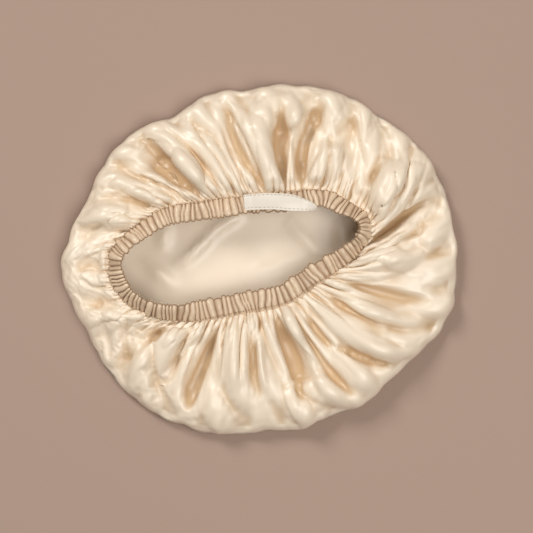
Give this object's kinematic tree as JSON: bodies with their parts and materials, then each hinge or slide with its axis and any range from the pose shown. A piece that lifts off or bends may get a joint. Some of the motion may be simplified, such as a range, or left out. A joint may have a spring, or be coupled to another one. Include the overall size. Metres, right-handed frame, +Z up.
{
  "type": "sleep bonnet",
  "caption": "Satin sleep bonnet lying open: a round gathered pouch folded in at the rim to a ruched elastic casing round an oval mouth, with a blank label.",
  "frame": {"origin": "on the surface that the bonnet lies on, under the middle of its outline", "axes": "+Z up through the open mouth, +X along the longest way across the rim, +Y towards the side that carries the label"},
  "size_m": [0.3594, 0.3186, 0.0425],
  "materials": {
    "champagne_satin": "glossy satin weave with soft folds",
    "ruched_satin": "glossy satin, tightly gathered over elastic",
    "ivory_label": "smooth woven tape with a stitched edge"
  },
  "bodies": {
    "root": {"crown": "champagne_satin", "elastic_casing": "ruched_satin", "label": "ivory_label"}
  },
  "joints": []
}
